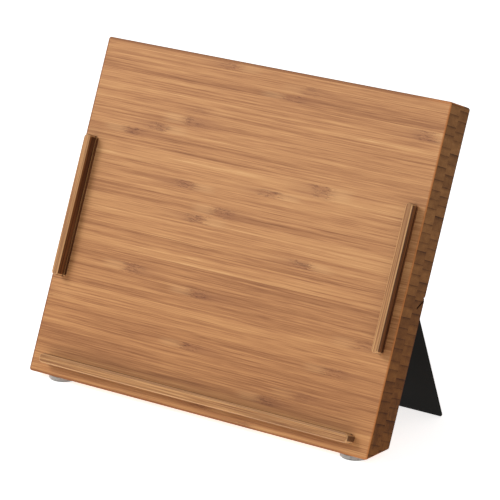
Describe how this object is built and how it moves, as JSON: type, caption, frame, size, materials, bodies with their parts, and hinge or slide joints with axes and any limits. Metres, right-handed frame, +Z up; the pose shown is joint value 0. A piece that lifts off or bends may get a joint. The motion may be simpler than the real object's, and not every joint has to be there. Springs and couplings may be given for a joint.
{
  "type": "photo album stand",
  "caption": "Slanting bamboo board stand for an album, book or tablet, with a front ledge, side rails, silicone feet and a bent steel rear leg",
  "frame": {"origin": "on the table, under the middle of the whole stand's box", "axes": "+X to the viewer's right across the width, -Y towards the front, +Z up"},
  "size_m": [0.26, 0.1056, 0.2018],
  "materials": {
    "bamboo_board": "carbonised bamboo laminate, satin clear lacquer",
    "bamboo_strip": "carbonised bamboo strip, satin clear lacquer",
    "dowel_wood": "plain bamboo dowel, unfinished",
    "black_steel": "fine-textured black powder coat",
    "clear_silicone": "translucent grey-clear silicone, soft gloss"
  },
  "bodies": {
    "board": {"front_ply": "bamboo_board", "back_ply": "bamboo_board", "ledge": "bamboo_strip", "ledge_dowels": "dowel_wood", "rail_left": "bamboo_strip", "rail_left_dowels": "dowel_wood", "rail_right": "bamboo_strip", "rail_right_dowels": "dowel_wood", "foot_left": "clear_silicone", "foot_right": "clear_silicone"},
    "leg": {"leg": "black_steel"}
  },
  "joints": [
    {"name": "leg_pull_out", "type": "slide", "parent": "board", "child": "leg", "axis": [0, 0.9184, 0.3955], "range_m": [0, 0.03]}
  ]
}
